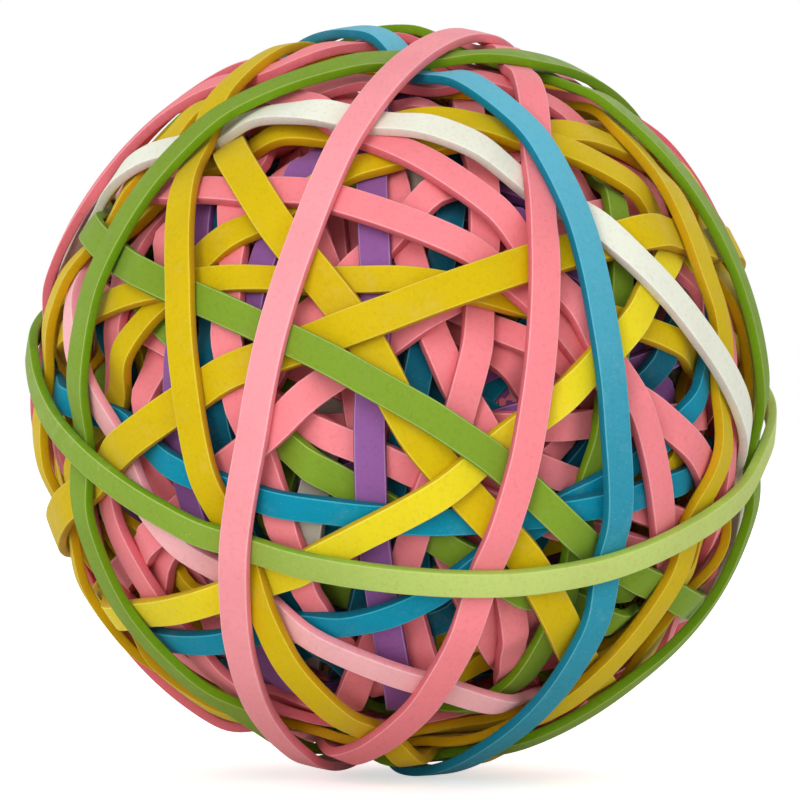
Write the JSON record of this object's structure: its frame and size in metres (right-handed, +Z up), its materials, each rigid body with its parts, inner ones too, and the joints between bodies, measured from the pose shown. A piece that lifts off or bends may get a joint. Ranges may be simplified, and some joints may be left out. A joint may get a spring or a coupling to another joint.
{
  "type": "rubber band ball",
  "caption": "Ball of coloured flat rubber bands wound taut over one another around a wound core.",
  "frame": {"origin": "centre of the ball", "axes": "+Z up as pictured, -Y towards the viewer, +X to the viewer's right"},
  "size_m": [0.0748, 0.0743, 0.0748],
  "materials": {
    "blue": "matte rubber with a faint dust",
    "core": "matte rubber with a faint dust",
    "green": "matte rubber with a faint dust",
    "lemon": "matte rubber with a faint dust",
    "lime": "matte rubber with a faint dust",
    "pink": "matte rubber with a faint dust",
    "purple": "matte rubber with a faint dust",
    "rose": "matte rubber with a faint dust",
    "sky": "matte rubber with a faint dust",
    "white": "matte rubber with a faint dust",
    "yellow": "matte rubber with a faint dust"
  },
  "bodies": {
    "root": {"blue_band_01": "blue", "blue_band_02": "blue", "green_band_01": "green", "green_band_02": "green", "green_band_03": "green", "green_band_04": "green", "lemon_band_01": "lemon", "lime_band_01": "lime", "pink_band_01": "pink", "pink_band_02": "pink", "pink_band_03": "pink", "pink_band_04": "pink", "pink_band_05": "pink", "pink_band_06": "pink", "pink_band_07": "pink", "pink_band_08": "pink", "pink_band_09": "pink", "pink_band_10": "pink", "purple_band_01": "purple", "purple_band_02": "purple", "rose_band_01": "rose", "rose_band_02": "rose", "sky_band_01": "sky", "white_band_01": "white", "wound_core": "core", "yellow_band_01": "yellow", "yellow_band_02": "yellow", "yellow_band_03": "yellow", "yellow_band_04": "yellow", "yellow_band_05": "yellow", "yellow_band_06": "yellow", "yellow_band_07": "yellow", "yellow_band_08": "yellow", "yellow_band_09": "yellow", "yellow_band_10": "yellow", "yellow_band_11": "yellow", "yellow_band_12": "yellow"}
  },
  "joints": []
}
